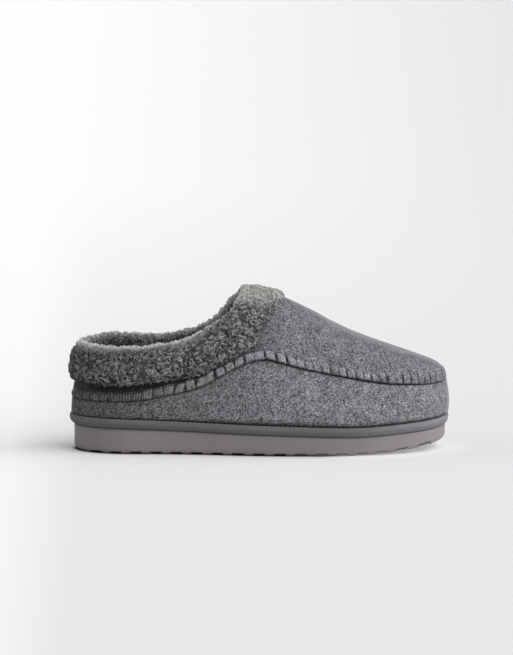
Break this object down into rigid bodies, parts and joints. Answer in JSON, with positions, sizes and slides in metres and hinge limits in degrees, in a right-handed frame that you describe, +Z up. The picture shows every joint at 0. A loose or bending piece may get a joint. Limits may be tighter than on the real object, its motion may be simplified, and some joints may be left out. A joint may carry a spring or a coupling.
{
  "type": "mule slipper",
  "caption": "Backless moccasin-style mule slipper in felt, with a turned-down fleece cuff, a raised whip-stitched seam and a wrapped platform sole.",
  "frame": {"origin": "on the floor under the middle of the heel, on the bottom of a tread bar", "axes": "+X towards the toe, +Y towards the big toe's side of this right slipper, +Z up"},
  "size_m": [0.2909, 0.112, 0.1266],
  "materials": {
    "outsole_foam": "matte moulded foam, warm grey, with a fine skin and a grooved tread",
    "platform_wrap": "smooth close-woven cloth wrapped over a board, mid grey, with a fine stitched top edge",
    "insole_fleece": "short curly fleece, warm grey",
    "felt": "soft pressed felt, heathered light and dark grey, with a short nap",
    "cuff_fleece": "thick curly sherpa fleece, warm grey"
  },
  "bodies": {
    "root": {"outsole": "outsole_foam", "midsole": "platform_wrap", "insole": "insole_fleece", "upper": "felt", "collar_cuff": "cuff_fleece"}
  },
  "joints": []
}
